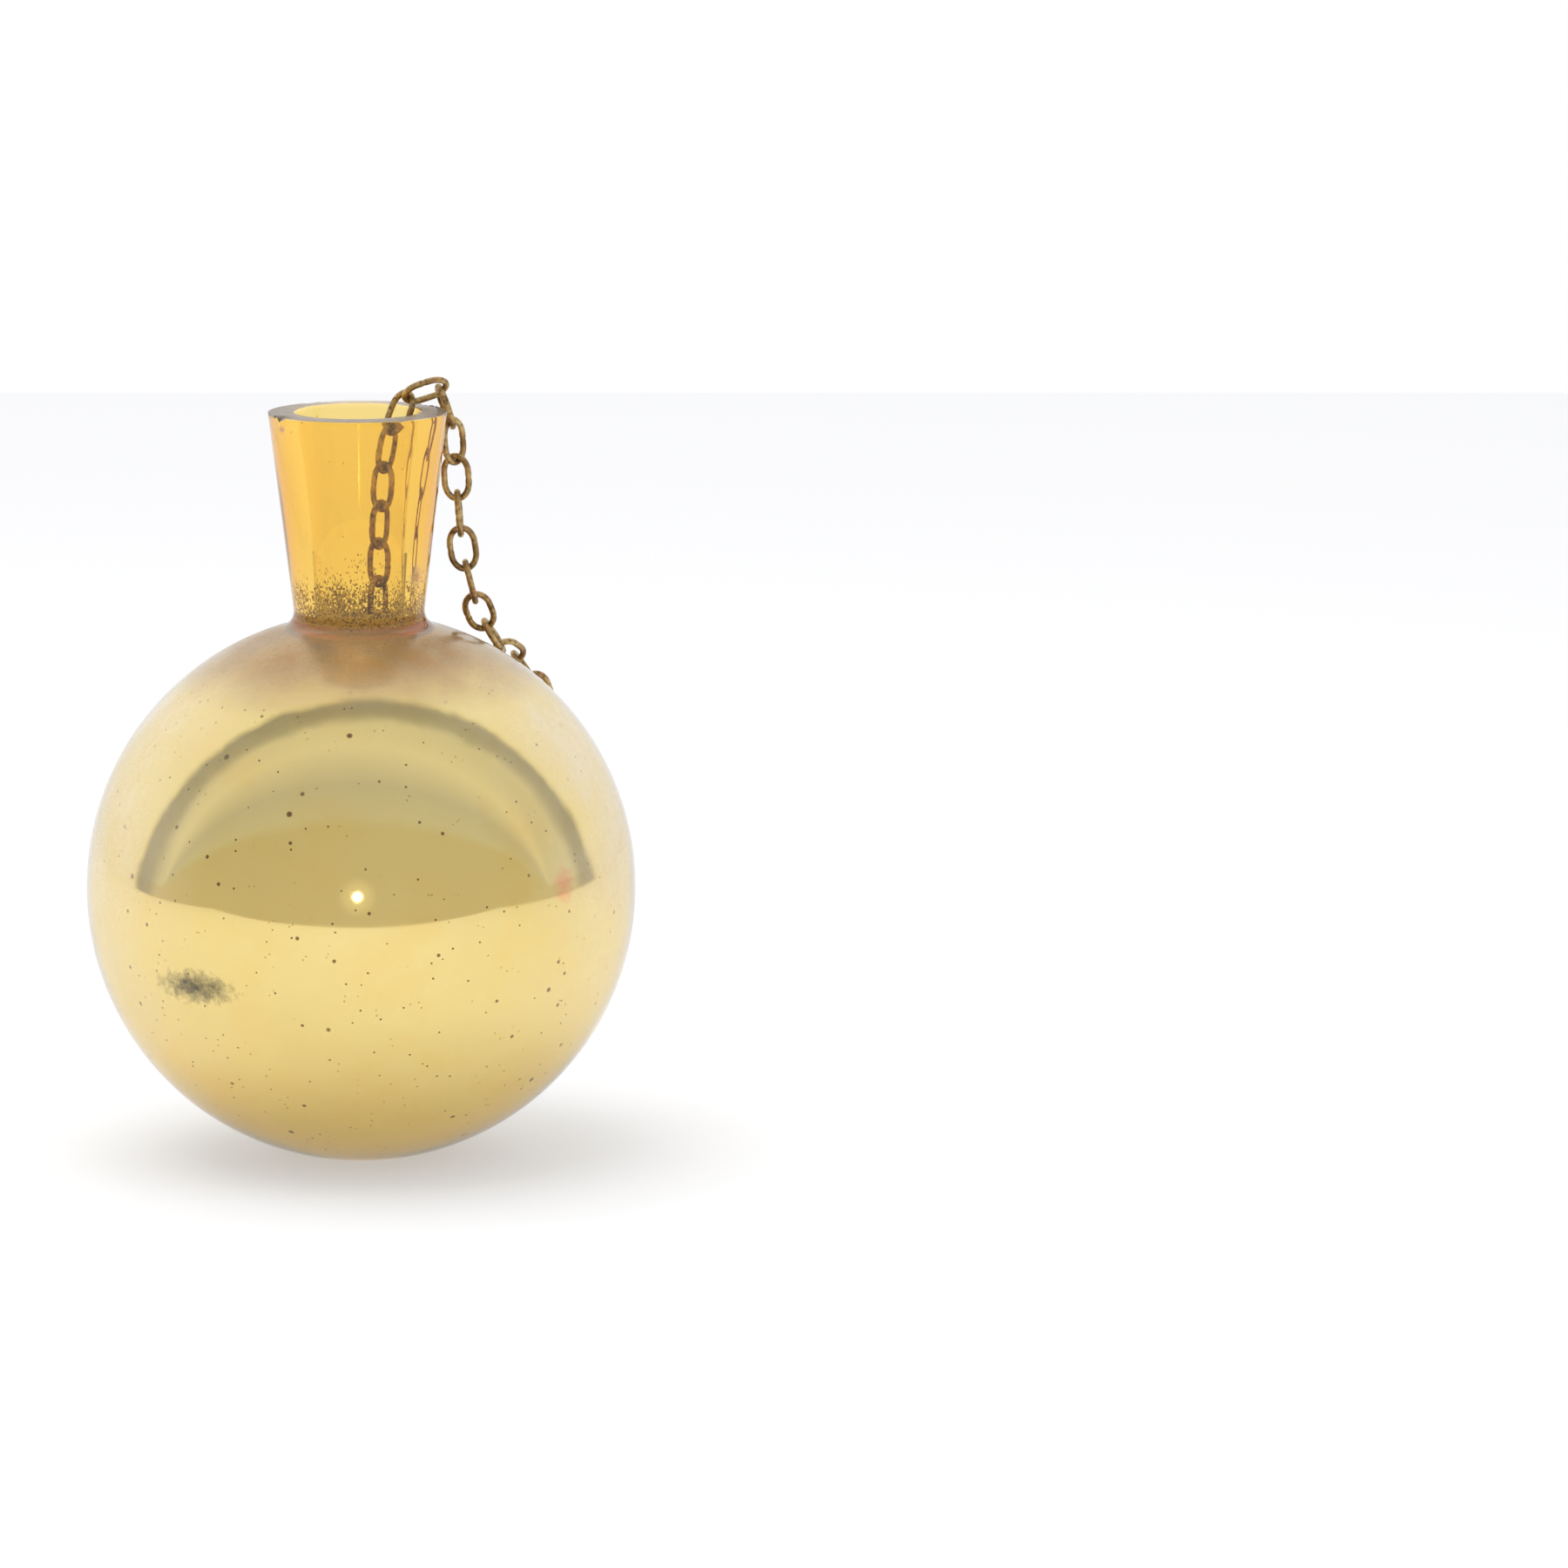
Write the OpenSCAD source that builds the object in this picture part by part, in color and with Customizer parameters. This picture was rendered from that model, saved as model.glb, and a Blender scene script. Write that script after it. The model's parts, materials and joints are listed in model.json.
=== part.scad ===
// Antique silvered-glass hanging flask: a blown ball with a flared neck, and a
// chain that is anchored inside the ball, crosses the rim and drapes behind it.
// Z is the flask's axis. The origin is the middle of the ground foot.

/* [Glass] */
// Outer diameter of the ball
ball_d = 260; // [200:1:320]
// Wall thickness of the ball
ball_wall = 4.5; // [3.5:0.1:7]
// Diameter of the flat foot ground on the bottom of the ball
foot_d = 45; // [30:1:56]
// Height of the rim above the foot
flask_h = 354.7; // [350:0.1:365]
// Outer diameter of the rim
rim_d = 84.8; // [80:0.1:90]
// Diameter of the bore at the rim
mouth_d = 59.4; // [54:0.1:62]
// Outer diameter of the neck at its waist
waist_d = 60.8; // [58:0.1:66]
// Narrowest diameter of the bore
bore_d = 42; // [38:0.1:44]
// Radius that blends the neck into the ball
neck_fillet = 8; // [6:0.5:10]
// Radius that rounds the bore's lower edge
bore_round = 4; // [3:0.5:5]
// Thickness of the silver film inside the ball
silver_t = 0.2; // [0.1:0.1:0.5]

/* [Chain] */
// Diameter of the chain's wire
wire_d = 3; // [2.6:0.1:3]
// Length of a link over its wire
link_l = 23.5; // [23:0.1:24]
// Width of a link over its wire
link_w = 14.8; // [14:0.1:15]
// Play between two linked wires
link_play = 0.12; // [0.08:0.01:0.2]

/* [Ends of the chain] */
// Outer diameter of the hanging ring
ring_d = 33; // [28:1:38]
// Diameter of the hanging ring's wire
ring_wire_d = 3.5; // [3:0.1:4]
// Length of the toggle bar
toggle_l = 64; // [54:1:80]
// Diameter of the toggle bar
toggle_d = 7; // [6:0.5:9]
// Diameter of the shank between the toggle's eye and its bar
shank_d = 3.8; // [3:0.1:5]
// Length of the shank
shank_l = 8; // [6:0.5:12]
// Length of the collar round the bar
collar_l = 9; // [6:0.5:14]
// Wall of the collar
collar_t = 1.5; // [1:0.1:2]
// How far the bar's round ends stand proud of the bar
knob_t = 1; // [0.5:0.1:2]

/* [Hidden] */
$fn = 96;
// the waist lies a little below the ball's top, and the bore starts to open a little above it
waist_drop = 1;
flute_rise = 6;
// the film stops this far outside the rounding under the bore
film_gap = 1;
// how far a cutting shape runs past what it cuts
past = 1;

ball_r = ball_d / 2;
ball_z = sqrt(pow(ball_r, 2) - pow(foot_d / 2, 2));
hollow_r = ball_r - ball_wall;
// the neck's outer wall is a cone from the waist to the rim
waist_z = ball_z + ball_r - waist_drop;
flare = atan((rim_d - waist_d) / 2 / (flask_h - waist_z));
// the bore is straight up to flute_z, and from there opens on one large arc to the mouth
flute_z = ball_z + ball_r + flute_rise;
flute_r = (pow(flask_h - flute_z, 2) + pow((mouth_d - bore_d) / 2, 2)) / (mouth_d - bore_d);
// the rounding inside the shoulder touches the bore and the hollow
rounding = [bore_d / 2 + bore_round,
            ball_z + sqrt(pow(hollow_r + bore_round, 2) - pow(bore_d / 2 + bore_round, 2))];

wire_r = wire_d / 2;
bend_r = (link_w - wire_d) / 2;
half_l = (link_l - link_w) / 2;
ring_r = (ring_d - ring_wire_d) / 2;
eye_drop = bend_r + shank_l;

// The rim link: its centre, the bearing its outer end points in, how far that end is raised, its roll
rim_link_at = [31.2, 15.6, flask_h + 7.9];
rim_link_set = [8, 107, -46];
// Each link hangs by [bearing, degrees out from straight down, roll about its length]
neck_set = [[30, -24, -22], [27, -13, 68], [27, -6, -22], [27, -4, 68],
            [27, -2, -22], [27, -1, 68], [27, 0, -22], [27, 0, 68]];
drape_set = [[30, 20, 14], [42, 6, 86], [48, 4, -30], [52, 7, 52],
             [54, 13, -40], [56, 22, 50], [58, 33, -38], [60, 49, 50],
             [60, 62, -40], [60, 51, 48], [60, 33, -45], [60, 26, 45],
             [60, 20, -45], [60, 12, 45], [60, 5, -30], [60, 0, 72]];
ring_set = [60, 0, -8];
eye_set = [27, 0, -22];

glass_yellow = [0.93, 0.74, 0.3, 0.6];
silver_gold = [0.86, 0.76, 0.42];
aged_brass = [0.46, 0.35, 0.2];

function neck_name(i) = str("neck_link_", i);
function drape_name(i) = str("drape_link_", i);

// ---- the way a chain hangs ----
function unit(v) = v / norm(v);
// the length and width directions of a link set at [bearing, tilt, roll]
function along(s) = [sin(s[1]) * cos(s[0]), sin(s[1]) * sin(s[0]), -cos(s[1])];
function level(s) = [-sin(s[0]), cos(s[0]), 0];
function across(s) = cos(s[2]) * level(s) - sin(s[2]) * cross(level(s), along(s));
function in_plane(v, a, b) = unit(v - (v * cross(a, b)) * cross(a, b));

// Where the near bend of a link has its centre, when the link hangs in a bend centred at from.
// Both wires lie square to the pull, one wire and the play apart.
function next_bend(from, d, w, s, r, wires, hold) =
    let (pull = unit(hold * d + along(s)))
    from + bend_r * in_plane(pull, d, w) + r * in_plane(pull, along(s), across(s))
        - (wires + link_play) * pull;

// The centre of link i of a run that starts in the rim link's end on the given side
function centre(run, i, side, hold) =
    let (s = run[i],
         start = i == 0,
         before = start ? rim_link_set : run[i - 1],
         d = start ? side * along(before) : along(before),
         at = start ? rim_link_at : centre(run, i - 1, side, hold),
         grip = start ? hold : 1)
    next_bend(at + half_l * d, d, across(before), s, bend_r, wire_d, grip) + half_l * along(s);

function neck_centre(i) = centre(neck_set, i, -1, 1);
function drape_centre(i) = centre(drape_set, i, 1, 0.8);

// The centre of a ring of radius r, hung in the last link of a run
function end_centre(run, last, s, r, wires) =
    let (before = run[len(run) - 1], d = along(before))
    next_bend(last + half_l * d, d, across(before), s, r, wires, 1);

module set_at(place, s) {
    translate(place)
        rotate([0, 180 - s[1], s[0]])
            rotate([0, 0, s[2]])
                children();
}

// ---- the glass ----
module right_half() {
    intersection() {
        children();
        square([ball_d, 2 * ball_d]);
    }
}

// centre of the circle that blends the ball into the neck's cone
function fillet_centre() =
    let (wall_dir = [sin(flare), cos(flare)],
         out_dir = [cos(flare), -sin(flare)],
         base = [waist_d / 2, waist_z] + neck_fillet * out_dir - [0, ball_z],
         b = base * wall_dir,
         c = base * base - pow(ball_r + neck_fillet, 2))
    base + [0, ball_z] + (sqrt(b * b - c) - b) * wall_dir;

module outside_2d() {
    blend = fillet_centre();
    neck_touch = blend - neck_fillet * [cos(flare), -sin(flare)];
    ball_touch = [0, ball_z] + ball_r / (ball_r + neck_fillet) * (blend - [0, ball_z]);
    right_half() translate([0, ball_z]) circle(ball_r, $fn = 360);
    difference() {
        polygon([[0, ball_z], ball_touch, blend, neck_touch, [rim_d / 2, flask_h], [0, flask_h]]);
        translate(blend) circle(neck_fillet);
    }
}

module bore_2d() {
    flute_axis = [bore_d / 2 + flute_r, flute_z];
    difference() {
        translate([0, rounding[1]]) square([mouth_d / 2 + past, flask_h]);
        translate([bore_d / 2, rounding[1] - past]) square([mouth_d, flute_z - rounding[1] + past]);
        translate(flute_axis) circle(flute_r, $fn = 720);
    }
}

module hollow_2d() {
    shoulder = [0, ball_z] + hollow_r / (hollow_r + bore_round) * (rounding - [0, ball_z]);
    right_half() translate([0, ball_z]) circle(hollow_r, $fn = 360);
    difference() {
        polygon([[0, ball_z], shoulder, rounding, rounding - [bore_round, 0], [0, rounding[1]]]);
        translate(rounding) circle(bore_round);
    }
}

module glass_flask() {
    color(glass_yellow) rotate_extrude() {
        difference() {
            outside_2d();
            bore_2d();
            hollow_2d();
        }
    }
}

// the film ends where the hollow turns up into the bore
module silver_lining() {
    edge_r = rounding[0] + film_gap;
    edge_z = ball_z + sqrt(pow(hollow_r, 2) - pow(edge_r, 2));
    color(silver_gold) rotate_extrude() {
        right_half() difference() {
            translate([0, ball_z]) circle(hollow_r, $fn = 360);
            translate([0, ball_z]) circle(hollow_r - silver_t, $fn = 360);
            translate([-past, edge_z]) square([ball_d, ball_r]);
        }
    }
}

// ---- the chain ----
module bend(r, thick) {
    rotate([90, 0, 90]) rotate_extrude(angle = 180) translate([r, 0]) circle(thick / 2);
}

// an oval link, long along Z and wide along Y
module link() {
    color(aged_brass) {
        for (end = [0, 1]) mirror([0, 0, end]) translate([0, 0, half_l]) bend(bend_r, wire_d);
        for (side = [-1, 1]) translate([0, side * bend_r, -half_l])
            cylinder(r = wire_r, h = 2 * half_l);
    }
}

module rim_link() {
    set_at(rim_link_at, rim_link_set) link();
}

module neck_link(i) {
    set_at(neck_centre(i - 1), neck_set[i - 1]) link();
}

module drape_link(i) {
    set_at(drape_centre(i - 1), drape_set[i - 1]) link();
}

module hanging_ring() {
    last = drape_centre(len(drape_set) - 1);
    at = end_centre(drape_set, last, ring_set, ring_r, (wire_d + ring_wire_d) / 2);
    color(aged_brass) set_at(at, ring_set)
        rotate([0, 90, 0]) rotate_extrude() translate([ring_r, 0]) circle(ring_wire_d / 2);
}

// ---- the toggle that holds the chain inside the ball ----
function eye_centre() =
    end_centre(neck_set, neck_centre(len(neck_set) - 1), eye_set, bend_r, wire_d);

// a round eye on a shank, with a collar that is soldered round the bar
module toggle_eye() {
    collar_r = toggle_d / 2 + collar_t;
    color(aged_brass) set_at(eye_centre(), eye_set) {
        difference() {
            union() {
                rotate([0, 90, 0]) rotate_extrude() translate([bend_r, 0]) circle(wire_r);
                translate([0, 0, bend_r]) cylinder(d = shank_d, h = shank_l);
                translate([0, -collar_l / 2, eye_drop]) rotate([-90, 0, 0])
                    cylinder(r = collar_r, h = collar_l);
            }
            translate([0, -collar_l / 2 - past, eye_drop]) rotate([-90, 0, 0])
                cylinder(d = toggle_d, h = collar_l + 2 * past);
        }
    }
}

module toggle_bar() {
    knob_r = toggle_d / 2 + knob_t;
    color(aged_brass) set_at(eye_centre(), eye_set) translate([0, 0, eye_drop]) {
        translate([0, -toggle_l / 2, 0]) rotate([-90, 0, 0])
            cylinder(d = toggle_d, h = toggle_l);
        for (side = [-1, 1]) translate([0, side * toggle_l / 2, 0]) sphere(knob_r);
    }
}

glass_flask();
silver_lining();
rim_link();
for (i = [1:len(neck_set)]) neck_link(i);
for (i = [1:len(drape_set)]) drape_link(i);
toggle_eye();
toggle_bar();
hanging_ring();
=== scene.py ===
"""Antique silvered-glass hanging flask: yellow blown glass, a worn silver film and a brass chain."""
import json
import math

import bmesh
import bpy
import numpy as np
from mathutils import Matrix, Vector, noise

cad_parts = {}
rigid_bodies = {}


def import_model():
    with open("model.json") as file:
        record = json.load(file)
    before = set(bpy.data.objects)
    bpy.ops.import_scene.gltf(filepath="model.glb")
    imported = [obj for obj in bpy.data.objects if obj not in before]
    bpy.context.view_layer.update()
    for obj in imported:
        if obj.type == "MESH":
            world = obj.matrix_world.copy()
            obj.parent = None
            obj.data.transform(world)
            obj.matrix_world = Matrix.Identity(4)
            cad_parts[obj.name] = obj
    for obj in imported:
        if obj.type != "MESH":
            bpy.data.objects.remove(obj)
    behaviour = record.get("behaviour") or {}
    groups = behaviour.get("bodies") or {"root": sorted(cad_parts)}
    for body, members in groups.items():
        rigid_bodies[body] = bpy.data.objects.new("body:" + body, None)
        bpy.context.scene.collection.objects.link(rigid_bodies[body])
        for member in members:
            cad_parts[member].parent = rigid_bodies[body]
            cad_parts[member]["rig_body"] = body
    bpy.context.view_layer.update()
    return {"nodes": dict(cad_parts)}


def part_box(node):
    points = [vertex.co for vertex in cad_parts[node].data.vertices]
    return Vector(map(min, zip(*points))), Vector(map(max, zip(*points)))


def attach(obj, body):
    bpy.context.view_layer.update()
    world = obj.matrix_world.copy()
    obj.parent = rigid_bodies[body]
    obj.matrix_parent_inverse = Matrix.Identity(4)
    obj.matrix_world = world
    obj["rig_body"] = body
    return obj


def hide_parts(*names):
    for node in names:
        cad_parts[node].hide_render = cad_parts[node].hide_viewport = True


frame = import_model()

# ---- sizes, in metres, taken from the frame ----
GLASS_LOW, GLASS_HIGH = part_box("glass_flask")
FILM_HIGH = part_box("silver_lining")[1]
MM = 0.001
RIM_Z = GLASS_HIGH.z
BALL_R = (GLASS_HIGH.x - GLASS_LOW.x) / 2
FOOT_R = 0.0225
BALL_Z = math.sqrt(BALL_R ** 2 - FOOT_R ** 2)
WALL = 0.0045
HOLLOW_R = BALL_R - WALL
RIM_R = 0.0424
MOUTH_R = 0.0297
WAIST_R = 0.0304
BORE_R = 0.021
WAIST_Z = BALL_Z + BALL_R - 0.001
FLUTE_Z = BALL_Z + BALL_R + 0.006
NECK_FILLET = 0.008
BORE_ROUND = 0.004
# the rim's outer edge is eased by this much inwards and downwards
RIM_EDGE = (RIM_R - 0.3 * MM, RIM_Z - 0.45 * MM)
# chips in the rim stay within this distance of its outer edge
CHIP_REACH = 5 * MM
FILM_GAP = 0.00012
FILM_THICK = 0.15 * MM
LINK_L = 0.0235
LINK_W = 0.0148
WIRE_R = 0.0015
# up to here the silver on the glass is whole, and above it only flakes cling to the bore
SILVER_Z = WAIST_Z + 0.003
FLAKES_REACH = 0.028

# ---- marks on the glass and the silver, and a painted pink reflection on the silver: the middle of each, in metres ----
NECK_STAIN = (0.0276, -0.018, 0.279)
RIM_STAIN = (-0.0348, -0.023, 0.349)
SMUDGE = (-0.0737, -0.1031, 0.099)
# the pink patch is a painted reflection on the silver, not a mark
PINK_REFLECTION = (0.098, -0.084, 0.144)

# ---- the room: directions that the ball reflects ----
TENT_AXIS = (-0.101, 0.961, 0.259)
LAMP_DIRECTION = (0.017, -1, 0.102)


# ---- camera ----
def make_camera():
    """A long lens from in front and a little above, with the flask left of the middle."""
    view_width = 0.7416
    distance = 4.0
    height_over_rim = 0.493
    aim = Vector((0.2002, 0, 0.1772))
    place = Vector((aim.x, -distance, RIM_Z + height_over_rim))
    data = bpy.data.cameras.new("camera")
    data.sensor_width = 36
    data.lens = 18 / (view_width / 2 / (place - aim).length)
    data.clip_end = 50
    camera = bpy.data.objects.new("camera", data)
    camera.location = place
    camera.rotation_mode = "QUATERNION"
    camera.rotation_quaternion = (aim - place).to_track_quat("-Z", "Y")
    bpy.context.scene.collection.objects.link(camera)
    bpy.context.scene.camera = camera


# ---- small helpers ----
def add_object(name, mesh, materials=()):
    """A new object for a mesh, with its materials."""
    piece = bpy.data.objects.new(name, mesh)
    bpy.context.scene.collection.objects.link(piece)
    for material in materials:
        piece.data.materials.append(material)
    return piece


def smooth(mesh):
    """Smooth shading on every face."""
    mesh.polygons.foreach_set("use_smooth", [True] * len(mesh.polygons))


def arc(centre, radius, start, end, count):
    """Points (r, z) on an arc, from one angle to another in degrees."""
    points = []
    for i in range(count + 1):
        angle = math.radians(start + (end - start) * i / count)
        points.append((centre[0] + radius * math.cos(angle), centre[1] + radius * math.sin(angle)))
    return points


def line(a, b, count):
    """Points (r, z) on a straight line, without its first one."""
    return [(a[0] + (b[0] - a[0]) * i / count, a[1] + (b[1] - a[1]) * i / count)
            for i in range(1, count + 1)]


class Nodes:
    """Short calls that build one node material."""

    def __init__(self, name):
        self.material = bpy.data.materials.new(name)
        self.material.use_nodes = True
        self.tree = self.material.node_tree
        self.shader = self.tree.nodes["Principled BSDF"]
        self.place = self.add("ShaderNodeTexCoord").outputs["Object"]

    def add(self, kind, **settings):
        """A new node with its settings."""
        node = self.tree.nodes.new(kind)
        for key, value in settings.items():
            setattr(node, key, value)
        return node

    def link(self, output, socket):
        """Joins an output to a socket."""
        self.tree.links.new(output, socket)

    def noise(self, scale, detail=4, roughness=0.55):
        """Uneven noise from about 0.3 to 0.7, where scale is in patches per metre."""
        node = self.add("ShaderNodeTexNoise")
        node.inputs["Scale"].default_value = scale
        node.inputs["Detail"].default_value = detail
        node.inputs["Roughness"].default_value = roughness
        self.link(self.place, node.inputs["Vector"])
        return node.outputs["Fac"]

    def spots(self, scale):
        """How far each place is from the nearest of many scattered points."""
        node = self.add("ShaderNodeTexVoronoi")
        node.inputs["Scale"].default_value = scale
        self.link(self.place, node.inputs["Vector"])
        return node.outputs["Distance"]

    def ramp(self, value, *stops):
        """A colour ramp through (position, colour) stops; a colour may be one grey number."""
        node = self.add("ShaderNodeValToRGB")
        elements = node.color_ramp.elements
        while len(elements) < len(stops):
            elements.new(0.5)
        for element, (position, colour) in zip(elements, stops):
            element.position = position
            element.color = (colour,) * 3 + (1,) if isinstance(colour, (int, float)) else (*colour, 1)
        self.link(value, node.inputs["Fac"])
        return node.outputs["Color"]

    def mix(self, factor, a, b, blend="MIX"):
        """Two colours mixed; each may be a tuple or another node's output."""
        node = self.add("ShaderNodeMix", data_type="RGBA", blend_type=blend)
        for socket, value in ((node.inputs[0], factor), (node.inputs[6], a), (node.inputs[7], b)):
            if isinstance(value, (int, float)):
                socket.default_value = value
            elif isinstance(value, tuple):
                socket.default_value = (*value, 1)
            else:
                self.link(value, socket)
        return node.outputs[2]

    def math(self, operation, a, b=0.0):
        """One sum on numbers or other nodes' outputs."""
        node = self.add("ShaderNodeMath", operation=operation)
        for socket, value in zip(node.inputs, (a, b)):
            if isinstance(value, (int, float)):
                socket.default_value = value
            else:
                self.link(value, socket)
        return node.outputs[0]

    def height(self):
        """The place's Z."""
        node = self.add("ShaderNodeSeparateXYZ")
        self.link(self.place, node.inputs[0])
        return node.outputs["Z"]

    def patch(self, centre, size, rough):
        """1 in the middle of an uneven patch on the surface and 0 away from it."""
        node = self.add("ShaderNodeMapping", vector_type="TEXTURE")
        node.inputs["Location"].default_value = centre
        node.inputs["Scale"].default_value = size
        self.link(self.place, node.inputs["Vector"])
        length = self.add("ShaderNodeVectorMath", operation="LENGTH")
        self.link(node.outputs[0], length.inputs[0])
        uneven = self.math("ADD", length.outputs["Value"], self.math("MULTIPLY", rough, 0.9))
        return self.ramp(uneven, (0.55, 1.0), (1.0, 0.0))

    def facing(self, blend):
        """0 where the surface is seen square on, rising to 1 at its outline."""
        node = self.add("ShaderNodeLayerWeight")
        node.inputs["Blend"].default_value = blend
        return node.outputs["Facing"]

    def absorb(self, colour, density):
        """Deepens the colour with the thickness of the glass."""
        node = self.add("ShaderNodeVolumeAbsorption")
        node.inputs["Color"].default_value = (*colour, 1)
        node.inputs["Density"].default_value = density
        self.link(node.outputs[0], self.tree.nodes["Material Output"].inputs["Volume"])

    def bump(self, height, strength, distance):
        """Small relief from a pattern."""
        node = self.add("ShaderNodeBump")
        node.inputs["Strength"].default_value = strength
        node.inputs["Distance"].default_value = distance
        self.link(height, node.inputs["Height"])
        self.link(node.outputs["Normal"], self.shader.inputs["Normal"])

    def set(self, **values):
        """Sets the shader's own sockets, by name with _ for a space."""
        for key, value in values.items():
            socket = self.shader.inputs[key.replace("_", " ")]
            if isinstance(value, tuple):
                value = (*value, 1)
            if hasattr(value, "links"):
                self.link(value, socket)
            else:
                socket.default_value = value


# ---- materials ----
def clear_glass():
    """Yellow blown glass with faint waves, dust with a painted sheen round its outline, seeds, two brown
    stains, and a brown band under the neck that is partly painted reflection.
    """
    n = Nodes("yellow_glass")
    z = n.math("DIVIDE", n.height(), RIM_Z)
    cloudy = n.ramp(n.noise(22, 6, 0.65), (0.30, 0.35), (0.70, 1.0))
    upper = n.ramp(z, (0.14, 0.0), (0.36, 0.75), (0.60, 1.0), (0.68, 0.2), (0.72, 0.0))
    # dust in the upper glass plus a painted sheen: the whitish tint and duller transmission grow towards
    # the outline, where the glass is seen edge on
    outline = n.ramp(n.facing(0.5), (0.18, 0.0), (0.55, 1.0))
    dust_and_sheen = n.math("MULTIPLY", n.math("MULTIPLY", upper, cloudy), outline)
    # brown band under the neck: partly a brown stain and partly a painted dark reflection, tinted into
    # base colour with duller, rougher transmission
    shoulder = n.math("MULTIPLY", n.ramp(z, (0.63, 0.0), (0.69, 1.0), (0.712, 0.8), (0.724, 0.0)),
                      n.ramp(n.noise(30, 6, 0.6), (0.30, 0.35), (0.62, 1.0)))
    tint = n.mix(dust_and_sheen, (0.978, 0.88, 0.56), (0.89, 0.79, 0.66))
    tint = n.mix(shoulder, tint, (0.56, 0.33, 0.11))
    seeds = n.ramp(n.spots(110), (0.04, 1.0), (0.075, 0.0))
    tint = n.mix(seeds, tint, (0.45, 0.30, 0.12))
    streaks = n.noise(260, 6, 0.7)
    stain = n.math("MAXIMUM", n.patch(NECK_STAIN, (0.009, 0.012, 0.013), streaks),
                   n.patch(RIM_STAIN, (0.006, 0.008, 0.0045), streaks))
    shoulder = n.math("MAXIMUM", shoulder, n.math("MULTIPLY", stain, 0.8))
    tint = n.mix(n.math("MULTIPLY", stain, 0.8), tint, (0.52, 0.24, 0.10))
    clear = n.math("SUBTRACT", 1.0, n.math("MULTIPLY", dust_and_sheen, 0.7))
    clear = n.math("SUBTRACT", clear, n.math("MULTIPLY", shoulder, 0.5))
    n.set(Base_Color=tint, Roughness=n.math("MULTIPLY", shoulder, 0.35), IOR=1.5,
          Transmission_Weight=n.math("MAXIMUM", clear, 0.0))
    n.bump(n.noise(9, 2), 0.25, 0.0015)
    n.absorb((0.985, 0.836, 0.233), 80)
    return n.material


def ground_glass():
    """The ground rim and foot: scratched, dull and a little dirty."""
    n = Nodes("ground_glass")
    dirt = n.noise(160, 6)
    n.set(Base_Color=n.ramp(dirt, (0.35, (0.72, 0.42, 0.22)), (0.62, (0.98, 0.78, 0.50))),
          Roughness=0.3, IOR=1.5, Transmission_Weight=0.88)
    n.bump(n.noise(700, 5), 0.6, 0.0004)
    return n.material


def silvered_glass():
    """Where the film lies on the glass: a gold-toned mirror with foxing, specks, a smudge and a painted
    pink reflection.
    """
    n = Nodes("silvered_glass")
    z = n.math("DIVIDE", n.height(), RIM_Z)
    tone = n.ramp(z, (0.04, (0.88, 0.80, 0.58)), (0.26, (0.89, 0.88, 0.82)), (0.5, (0.90, 0.90, 0.86)))
    clouds = n.ramp(n.noise(7, 5), (0.35, (0.93, 0.90, 0.84)), (0.65, (1.0, 1.0, 1.0)))
    tone = n.mix(1.0, tone, clouds, "MULTIPLY")
    foxing = n.ramp(n.noise(26, 6), (0.48, 0.0), (0.78, 0.6))
    colour = n.mix(foxing, tone, (0.86, 0.72, 0.46))
    near_neck = n.ramp(z, (0.64, 0.0), (0.705, 1.0))
    colour = n.mix(near_neck, colour, n.mix(n.noise(34, 5), (0.72, 0.50, 0.25), (0.92, 0.78, 0.46)))
    bare = n.ramp(z, (0.704, 0.0), (0.715, 1.0))
    flakes = n.ramp(n.noise(800, 5, 0.7), (0.40, (0.20, 0.13, 0.045)), (0.47, (0.97, 0.84, 0.45)))
    colour = n.mix(bare, colour, flakes)
    for scale, reach in ((40, 0.065), (75, 0.085), (150, 0.10)):
        specks = n.ramp(n.spots(scale), (reach * 0.6, 1.0), (reach, 0.0))
        colour = n.mix(specks, colour, (0.22, 0.13, 0.05))
    scratched = n.noise(240, 6, 0.7)
    smudge = n.patch(SMUDGE, (0.044, 0.05, 0.016), scratched)
    colour = n.mix(smudge, colour, (0.05, 0.045, 0.035))
    # painted reflection: a faint pink patch in the silver's colour
    painted_pink_reflection = n.patch(PINK_REFLECTION, (0.011, 0.022, 0.023), scratched)
    colour = n.mix(painted_pink_reflection, colour, (1.0, 0.34, 0.36))
    bore = n.ramp(z, (0.70, 0.0), (0.716, 1.0))
    n.set(Base_Color=colour, Metallic=n.math("SUBTRACT", 1.0, n.math("MULTIPLY", bore, 0.75)),
          Roughness=n.mix(bore, n.ramp(n.noise(14, 5), (0.4, 0.03), (0.8, 0.10)), (0.5, 0.5, 0.5)))
    n.bump(n.noise(7, 2), 0.2, 0.002)
    return n.material


def film_back():
    """The back of the film, seen through the mouth: grey-gold and patchy."""
    n = Nodes("film_back")
    patches = n.ramp(n.noise(40, 6), (0.35, (0.50, 0.42, 0.28)), (0.7, (0.80, 0.72, 0.52)))
    n.set(Base_Color=patches, Metallic=1.0, Roughness=0.28)
    n.bump(n.noise(300, 4), 0.3, 0.0002)
    return n.material


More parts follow.
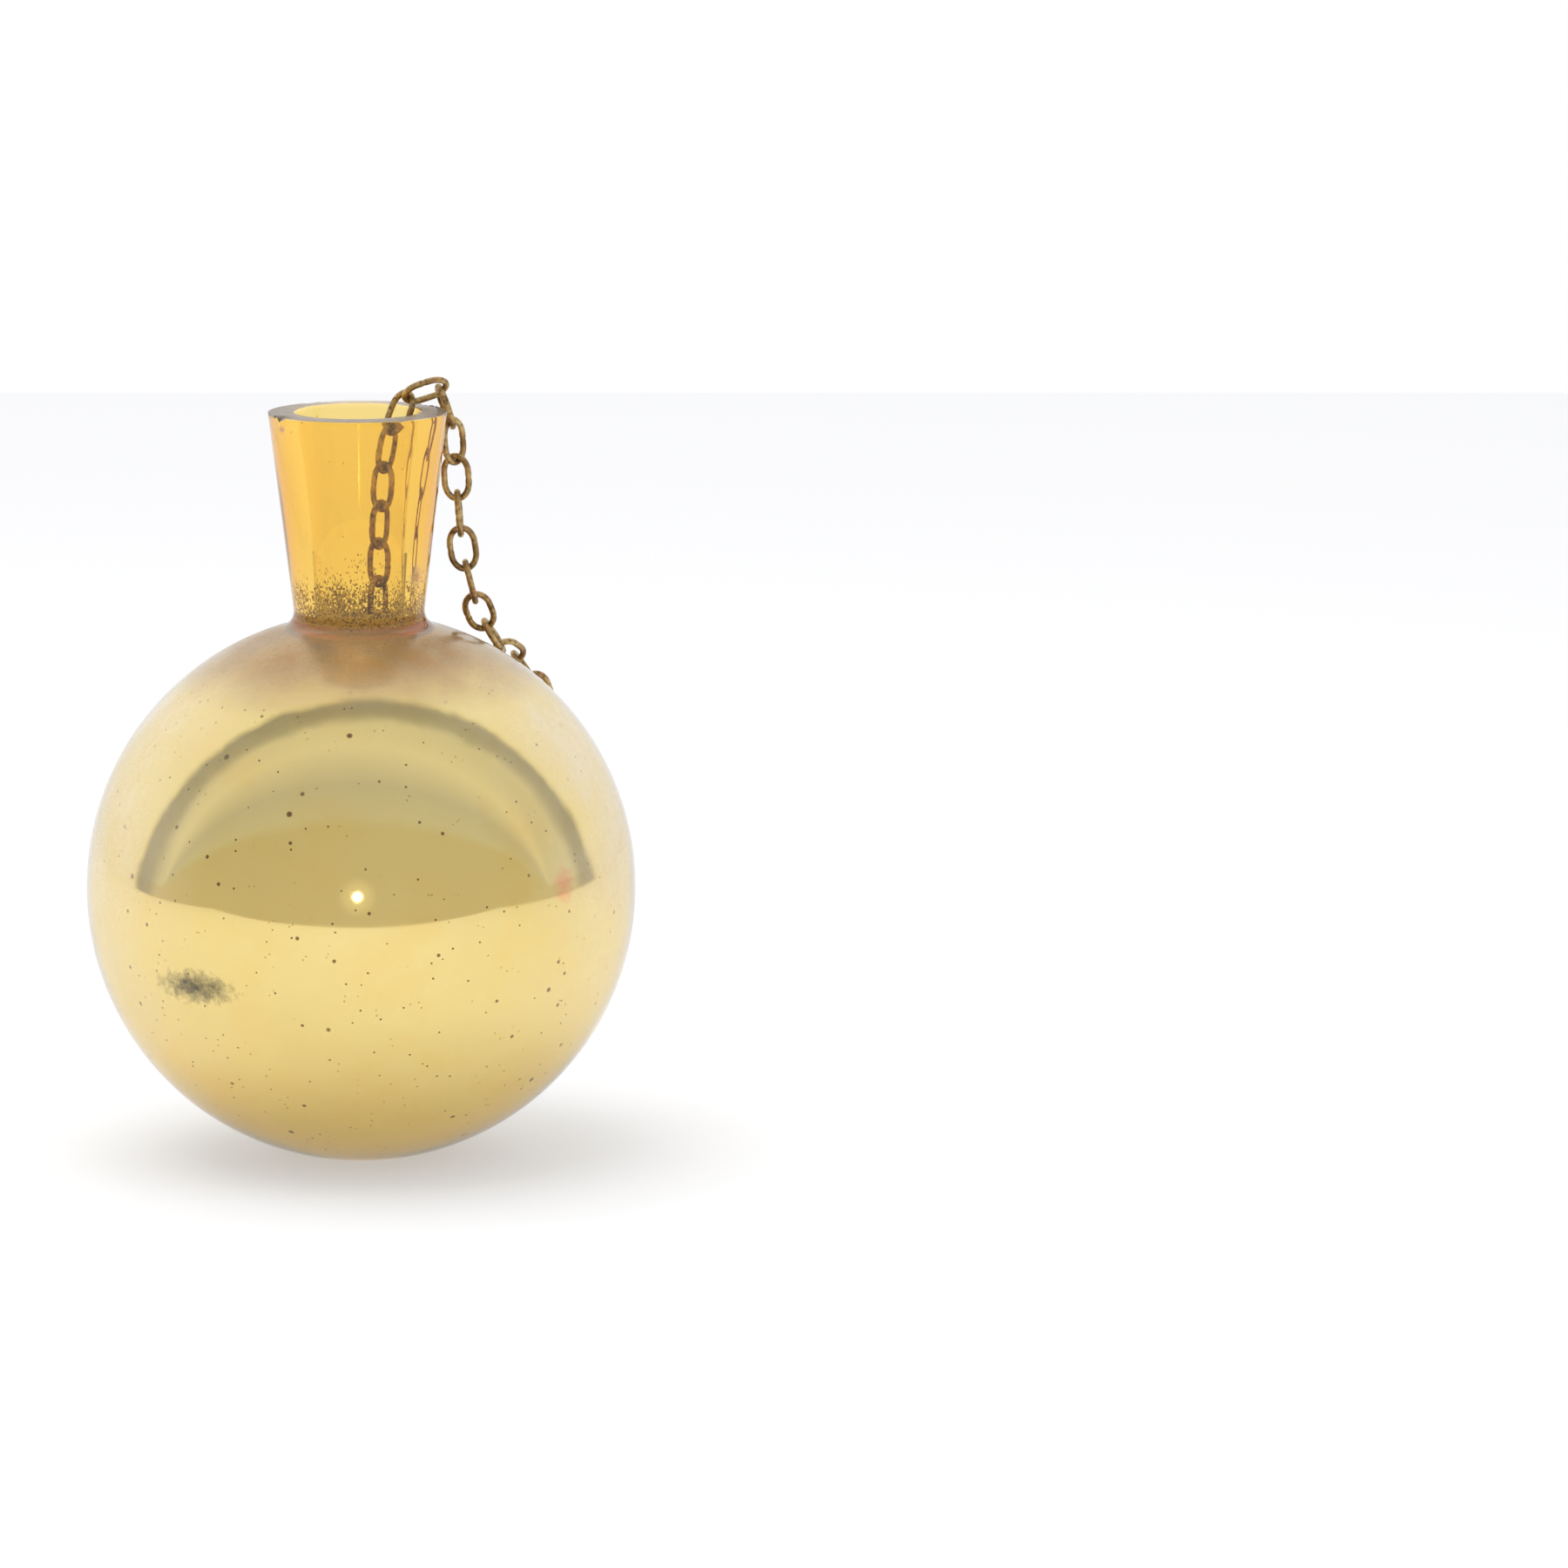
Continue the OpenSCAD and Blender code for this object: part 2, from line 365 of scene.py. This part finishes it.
def aged_brass():
    """Brass that has gone brown, yellow in some patches and coppery in others."""
    n = Nodes("aged_brass")
    patina = n.ramp(n.noise(120, 6), (0.30, (0.24, 0.14, 0.055)), (0.50, (0.50, 0.335, 0.135)),
                    (0.70, (0.74, 0.55, 0.25)))
    copper = n.ramp(n.noise(70, 3), (0.55, 0.0), (0.72, 0.5))
    colour = n.mix(copper, patina, (0.52, 0.24, 0.11))
    grime = n.ramp(n.noise(420, 6), (0.30, 0.0), (0.52, 1.0))
    colour = n.mix(grime, (0.10, 0.062, 0.03), colour)
    n.set(Base_Color=colour, Metallic=0.7, Roughness=n.ramp(n.noise(260, 5), (0.3, 0.28), (0.7, 0.50)))
    n.bump(n.noise(900, 4), 0.2, 0.0002)
    return n.material


# ---- the glass ----
def fillet_centre():
    """Centre of the arc that blends the ball into the neck's cone, and the cone's slope."""
    flare = math.atan2(RIM_R - WAIST_R, RIM_Z - WAIST_Z)
    along = (math.sin(flare), math.cos(flare))
    out = (math.cos(flare), -math.sin(flare))
    base = (WAIST_R + NECK_FILLET * out[0], WAIST_Z + NECK_FILLET * out[1] - BALL_Z)
    b = base[0] * along[0] + base[1] * along[1]
    c = base[0] ** 2 + base[1] ** 2 - (BALL_R + NECK_FILLET) ** 2
    step = math.sqrt(b * b - c) - b
    return (base[0] + step * along[0], base[1] + step * along[1] + BALL_Z), flare


def outer_outline():
    """The glass's outside, from the middle of the foot to the rim."""
    blend, flare = fillet_centre()
    low = math.degrees(math.atan2(-BALL_Z, FOOT_R))
    high = math.degrees(math.atan2(blend[1] - BALL_Z, blend[0]))
    touch = (blend[0] - NECK_FILLET * math.cos(flare), blend[1] + NECK_FILLET * math.sin(flare))
    points = [(0, 0)] + line((0, 0), (FOOT_R, 0), 6)
    points += arc((0, BALL_Z), BALL_R, low, high, 120)[1:]
    points += arc(blend, NECK_FILLET, high - 180, -180 - math.degrees(flare), 14)[1:]
    points += line(touch, RIM_EDGE, 40)
    return points


def bore_radius(z):
    """The bore's radius at a height: straight at the waist, opening on one large arc."""
    rise = max(0.0, z - FLUTE_Z)
    reach, spread = RIM_Z - FLUTE_Z, MOUTH_R - BORE_R
    radius = (reach ** 2 + spread ** 2) / (2 * spread)
    return BORE_R + radius - math.sqrt(radius ** 2 - rise ** 2)


def inner_outline():
    """The glass's inside, from the rim down the bore and round the hollow to the middle of the bottom."""
    rounding = (BORE_R + BORE_ROUND,
                BALL_Z + math.sqrt((HOLLOW_R + BORE_ROUND) ** 2 - (BORE_R + BORE_ROUND) ** 2))
    tilt = math.degrees(math.atan2(rounding[1] - BALL_Z, rounding[0]))
    rows = 110
    top = RIM_Z - 0.5 * MM
    points = [(bore_radius(top + (rounding[1] - top) * i / rows), top + (rounding[1] - top) * i / rows)
              for i in range(rows + 1)]
    points += arc(rounding, BORE_ROUND, 180, 180 + tilt, 12)[1:]
    points += arc((0, BALL_Z), HOLLOW_R, tilt, -90, 130)[1:]
    return points


def rim_outline():
    """The ground rim, from its outer edge to its inner one, with both edges eased."""
    shoulder = (RIM_R - 0.35 * MM, RIM_Z - 0.1 * MM)
    flat_from = (RIM_R - 1.2 * MM, RIM_Z)
    flat_to = (MOUTH_R + 0.6 * MM, RIM_Z)
    return line(RIM_EDGE, shoulder, 3) + line(shoulder, flat_from, 3) + line(flat_from, flat_to, 14)


def chip_depth(angle, radius):
    """How much of the rim is missing at a place: small nicks, and larger chips in a few spans."""
    # each span's middle and half width in degrees, and its depth in millimetres
    spans = ((35, 22, 1.6), (213, 10, 2.4), (300, 8, 0.9), (120, 12, 1.1))
    edge = max(0.0, (radius - RIM_R + CHIP_REACH) / CHIP_REACH)
    total = 0.0
    for middle, width, depth in spans:
        off = (math.degrees(angle) - middle + 180) % 360 - 180
        total += depth * max(0.0, 1 - (off / width) ** 2)
    place = Vector((math.cos(angle) * radius, math.sin(angle) * radius, 0)) * 420
    rough = max(0.0, noise.noise(place) + 0.35)
    return (total * rough + 0.12) * edge * MM


def worn_silver(r, z, angle):
    """True where the film still clings to the bore's wall, above the edge of the whole film."""
    place = Vector((math.cos(angle) * r, math.sin(angle) * r, z))
    cling = 1 - (z - SILVER_Z) / FLAKES_REACH
    fine = noise.fractal(place * 900, 0.9, 2.1, 4)
    broad = noise.noise(place * 90)
    return cling > 0 and fine + 0.5 * broad > 0.95 - 1.25 * cling


def glass_mesh(segments):
    """One closed skin: outside, rim, bore and hollow. Faces carry 0 clear, 1 ground or 2 silvered."""
    outside, rim, inside = outer_outline(), rim_outline(), inner_outline()
    outline = outside + rim + inside
    rim_rows = range(len(outside), len(outside) + len(rim))
    bm = bmesh.new()
    rings = []
    for row, (r, z) in enumerate(outline):
        if r < 1e-7:
            rings.append([bm.verts.new((0, 0, z))])
            continue
        ring = []
        for s in range(segments):
            angle = 2 * math.pi * s / segments
            drop = chip_depth(angle, r) if z > RIM_Z - 3 * MM and r > RIM_R - CHIP_REACH else 0
            ring.append(bm.verts.new((r * math.cos(angle), r * math.sin(angle), z - drop)))
        rings.append(ring)
    for row in range(len(rings) - 1):
        low, high = rings[row], rings[row + 1]
        r = (outline[row][0] + outline[row + 1][0]) / 2
        z = (outline[row][1] + outline[row + 1][1]) / 2
        inner = row >= rim_rows.stop
        for s in range(segments):
            t = (s + 1) % segments
            if len(low) == 1:
                face = bm.faces.new((low[0], high[t], high[s]))
            elif len(high) == 1:
                face = bm.faces.new((low[s], low[t], high[0]))
            else:
                face = bm.faces.new((low[s], low[t], high[t], high[s]))
            angle = 2 * math.pi * (s + 0.5) / segments
            silvered = inner and (z < SILVER_Z or worn_silver(r, z, angle))
            ground = row + 1 in rim_rows or row < 6
            face.material_index = 2 if silvered else 1 if ground else 0
            face.smooth = True
    bmesh.ops.recalc_face_normals(bm, faces=bm.faces)
    mesh = bpy.data.meshes.new("glass")
    bm.to_mesh(mesh)
    bm.free()
    return mesh


def make_glass():
    """The blown glass, in place of the plain CAD flask."""
    piece = add_object("blown_glass", glass_mesh(360), (clear_glass(), ground_glass(), silvered_glass()))
    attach(piece, "flask")
    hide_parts("glass_flask")


def make_film():
    """The film itself: a thin closed shell just inside the hollow, with a ragged upper edge."""
    segments, rows = 240, 150
    top = math.degrees(math.acos((BORE_R + BORE_ROUND + 0.001) / HOLLOW_R))
    bm = bmesh.new()
    rings = []
    for radius in (HOLLOW_R - FILM_GAP, HOLLOW_R - FILM_GAP - FILM_THICK):
        for r, z in arc((0, BALL_Z), radius, top, -89.6, rows):
            fade = max(0.0, 1 - (FILM_HIGH.z - z) / 0.01)
            ring = []
            for s in range(segments):
                angle = 2 * math.pi * s / segments
                place = Vector((math.cos(angle), math.sin(angle), 0)) * 12
                drop = fade * 0.0022 * (1 + noise.noise(place))
                ring.append(bm.verts.new((r * math.cos(angle), r * math.sin(angle), z - drop)))
            rings.append(ring)
    order = list(range(rows + 1)) + list(range(2 * rows + 1, rows, -1))
    for a, b in zip(order, order[1:] + order[:1]):
        for s in range(segments):
            t = (s + 1) % segments
            bm.faces.new((rings[a][s], rings[a][t], rings[b][t], rings[b][s]))
    bmesh.ops.recalc_face_normals(bm, faces=bm.faces)
    mesh = bpy.data.meshes.new("film")
    bm.to_mesh(mesh)
    bm.free()
    smooth(mesh)
    piece = add_object("silver_film", mesh, (film_back(),))
    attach(piece, "flask")
    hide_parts("silver_lining")


# ---- the chain ----
def principal_axes(node):
    """A node's middle, and its directions from the longest to the shortest."""
    points = np.array([vertex.co for vertex in node.data.vertices])
    values, vectors = np.linalg.eigh(np.cov((points - points.mean(0)).T))
    middle = (points.max(0) + points.min(0)) / 2
    long, wide = vectors[:, 2], vectors[:, 1]
    for axis in (long, wide):
        spread = points @ axis
        middle = middle + axis * ((spread.max() + spread.min()) / 2 - middle @ axis)
    return Vector(middle), Vector(long), Vector(wide)


def link_path(half_length, half_width, count):
    """A bent wire link: rounder than a stadium and fuller than an ellipse, as (along, across)."""
    straight = half_length - half_width
    points = []
    for i in range(count):
        angle = 2 * math.pi * i / count
        c, s = math.cos(angle), math.sin(angle)
        stadium = (half_width * c + math.copysign(straight, c) * min(1, abs(c) * 5), half_width * s)
        oval = (half_length * c, half_width * s)
        points.append((0.5 * (stadium[0] + oval[0]), 0.5 * (stadium[1] + oval[1])))
    return points


def link_mesh(name, middle, long, wide, seed):
    """One link of round wire whose ends meet in a filed butt joint on one side."""
    path = link_path(LINK_L / 2 - WIRE_R, LINK_W / 2 - WIRE_R, 96)
    sides = 20
    flat = long.cross(wide)
    bm = bmesh.new()
    rings = []
    for i, (along, across) in enumerate(path):
        before, after = path[i - 1], path[(i + 1) % len(path)]
        tangent = (long * (after[0] - before[0]) + wide * (after[1] - before[1])).normalized()
        out = tangent.cross(flat)
        spot = middle + long * along + wide * across
        off_joint = abs(i - len(path) / 4)
        thick = WIRE_R * (1 + 0.025 * noise.noise(spot * 300 + Vector((seed, 0, 0))))
        if off_joint < 1:
            thick *= 0.88
        elif off_joint < 3:
            thick *= 1.03
        ring = []
        for k in range(sides):
            angle = 2 * math.pi * k / sides
            ring.append(bm.verts.new(spot + (out * math.cos(angle) + flat * math.sin(angle)) * thick))
        rings.append(ring)
    for i, ring in enumerate(rings):
        following = rings[(i + 1) % len(rings)]
        for k in range(sides):
            t = (k + 1) % sides
            bm.faces.new((ring[k], ring[t], following[t], following[k]))
    bmesh.ops.recalc_face_normals(bm, faces=bm.faces)
    mesh = bpy.data.meshes.new(name)
    bm.to_mesh(mesh)
    bm.free()
    smooth(mesh)
    return mesh


def make_chain():
    """Each CAD link gives way to a bent wire link; the toggle and the ring keep their CAD shapes."""
    brass = aged_brass()
    for seed, (name, node) in enumerate(sorted(frame["nodes"].items())):
        if name in ("glass_flask", "silver_lining"):
            continue
        if "link" in name:
            middle, long, wide = principal_axes(node)
            piece = add_object("wire_" + name, link_mesh(name, middle, long, wide, seed), (brass,))
            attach(piece, node["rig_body"])
            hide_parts(name)
            continue
        node.data.materials.clear()
        node.data.materials.append(brass)
        smooth(node.data)


# ---- floor, light and surroundings ----
def make_floor():
    """A white table that ends in front of the flask, as the ball shows it."""
    front, side, back = -1.2, 2.2, 3.0
    mesh = bpy.data.meshes.new("floor")
    corners = [(-side, front, 0), (side, front, 0), (side, back, 0), (-side, back, 0)]
    mesh.from_pydata(corners, [], [(0, 1, 2, 3)])
    n = Nodes("floor_white")
    n.set(Base_Color=(0.6, 0.6, 0.6), Roughness=0.9, Specular_IOR_Level=0.1,
          Emission_Color=(1.0, 1.0, 1.0), Emission_Strength=0.42)
    add_object("floor", mesh, (n.material,))


def make_light():
    """One broad soft light above and to the left, left out of the reflections."""
    data = bpy.data.lights.new("soft_top", "AREA")
    data.shape = "RECTANGLE"
    data.size = 2.4
    data.size_y = 1.8
    data.energy = 26
    lamp = bpy.data.objects.new("soft_top", data)
    lamp.location = (-0.5, -0.3, 2.4)
    lamp.rotation_mode = "QUATERNION"
    lamp.rotation_quaternion = (Vector((0, 0, 0.1)) - lamp.location).to_track_quat("-Z", "Y")
    lamp.visible_glossy = False
    lamp.visible_transmission = False
    bpy.context.scene.collection.objects.link(lamp)


def make_world():
    """White all round, with a greyer room in front that only the glass and metal see."""
    world = bpy.data.worlds.new("studio")
    bpy.context.scene.world = world
    world.use_nodes = True
    tree = world.node_tree
    tree.nodes.clear()

    def add(kind, **settings):
        """A new node with its settings."""
        node = tree.nodes.new(kind)
        for key, value in settings.items():
            setattr(node, key, value)
        return node

    def ramp(value, stops):
        """A colour ramp through (position, grey or colour) stops."""
        node = add("ShaderNodeValToRGB")
        elements = node.color_ramp.elements
        while len(elements) < len(stops):
            elements.new(0.5)
        for element, (position, grey) in zip(elements, stops):
            element.position = position
            element.color = (grey, grey, grey, 1) if isinstance(grey, (int, float)) else (*grey, 1)
        tree.links.new(value, node.inputs["Fac"])
        return node.outputs["Color"]

    def half(value):
        """A value from -1 to 1, brought to 0 to 1."""
        node = add("ShaderNodeMath", operation="MULTIPLY_ADD")
        tree.links.new(value, node.inputs[0])
        node.inputs[1].default_value = 0.5
        node.inputs[2].default_value = 0.5
        return node.outputs[0]

    direction = add("ShaderNodeTexCoord").outputs["Generated"]
    parts = add("ShaderNodeSeparateXYZ")
    tree.links.new(direction, parts.inputs[0])
    # how far round the X axis: 0 is level in front of the flask, 0.5 is overhead
    turned = add("ShaderNodeMath", operation="ARCTAN2")
    tree.links.new(parts.outputs["Z"], turned.inputs[0])
    front = add("ShaderNodeMath", operation="MULTIPLY")
    tree.links.new(parts.outputs["Y"], front.inputs[0])
    front.inputs[1].default_value = -1
    tree.links.new(front.outputs[0], turned.inputs[1])
    round_x = add("ShaderNodeMath", operation="DIVIDE")
    tree.links.new(turned.outputs[0], round_x.inputs[0])
    round_x.inputs[1].default_value = math.pi
    # along the tent's axis: 0 is in front of the flask and 1 behind it, and past the opening all is white
    rough = add("ShaderNodeTexNoise")
    rough.inputs["Scale"].default_value = 7
    rough.inputs["Detail"].default_value = 4
    tree.links.new(direction, rough.inputs["Vector"])
    wavy = add("ShaderNodeMath", operation="MULTIPLY_ADD")
    tree.links.new(rough.outputs["Fac"], wavy.inputs[0])
    wavy.inputs[1].default_value = 0.05
    tent = add("ShaderNodeVectorMath", operation="DOT_PRODUCT")
    tree.links.new(direction, tent.inputs[0])
    tent.inputs[1].default_value = TENT_AXIS
    tree.links.new(half(tent.outputs["Value"]), wavy.inputs[2])
    opening = ramp(wavy.outputs[0], ((0.697, 0.0), (0.722, 1.0)))
    edge = ramp(wavy.outputs[0], ((0.60, 1.0), (0.64, 0.60), (0.70, 0.46)))
    # the room is darkest level with the eye and lighter from 39 degrees up, where its ceiling starts
    room = ramp(round_x.outputs[0], ((0.0, (0.69, 0.66, 0.60)), (0.195, (0.66, 0.64, 0.58)),
                                     (0.225, (0.68, 0.70, 0.74)), (0.30, (0.63, 0.65, 0.76)),
                                     (0.40, (0.86, 0.87, 0.93)), (0.50, (0.74, 0.75, 0.79))))
    shaded = add("ShaderNodeMix", data_type="RGBA", blend_type="MULTIPLY")
    shaded.inputs[0].default_value = 1
    tree.links.new(room, shaded.inputs[6])
    tree.links.new(edge, shaded.inputs[7])
    seen = add("ShaderNodeMix", data_type="RGBA")
    tree.links.new(opening, seen.inputs[0])
    tree.links.new(shaded.outputs[2], seen.inputs[6])
    seen.inputs[7].default_value = (1, 1, 1, 1)
    # one small lamp beside the camera, and the faint glow round it
    strength = 1.0
    for inner, outer, power in ((0.2, 2.4, 16), (1.0, 9.0, 0.25)):
        toward = add("ShaderNodeVectorMath", operation="DOT_PRODUCT")
        tree.links.new(direction, toward.inputs[0])
        toward.inputs[1].default_value = Vector(LAMP_DIRECTION).normalized()
        glow = add("ShaderNodeMapRange", interpolation_type="SMOOTHSTEP")
        tree.links.new(toward.outputs["Value"], glow.inputs["Value"])
        glow.inputs["From Min"].default_value = math.cos(math.radians(outer))
        glow.inputs["From Max"].default_value = math.cos(math.radians(inner))
        glow.inputs["To Max"].default_value = power
        total = add("ShaderNodeMath", operation="ADD")
        tree.links.new(glow.outputs["Result"], total.inputs[0])
        if isinstance(strength, float):
            total.inputs[1].default_value = strength
        else:
            tree.links.new(strength, total.inputs[1])
        strength = total.outputs[0]
    surround = add("ShaderNodeBackground")
    tree.links.new(seen.outputs[2], surround.inputs["Color"])
    tree.links.new(strength, surround.inputs["Strength"])
    backdrop = add("ShaderNodeBackground")
    backdrop.inputs["Color"].default_value = (1, 1, 1, 1)
    choose = add("ShaderNodeMixShader")
    tree.links.new(add("ShaderNodeLightPath").outputs["Is Camera Ray"], choose.inputs[0])
    tree.links.new(surround.outputs[0], choose.inputs[1])
    tree.links.new(backdrop.outputs[0], choose.inputs[2])
    tree.links.new(choose.outputs[0], add("ShaderNodeOutputWorld").inputs["Surface"])


make_camera()
bpy.context.scene.view_settings.view_transform = "Standard"
make_world()
make_light()
make_floor()
make_glass()
make_film()
make_chain()
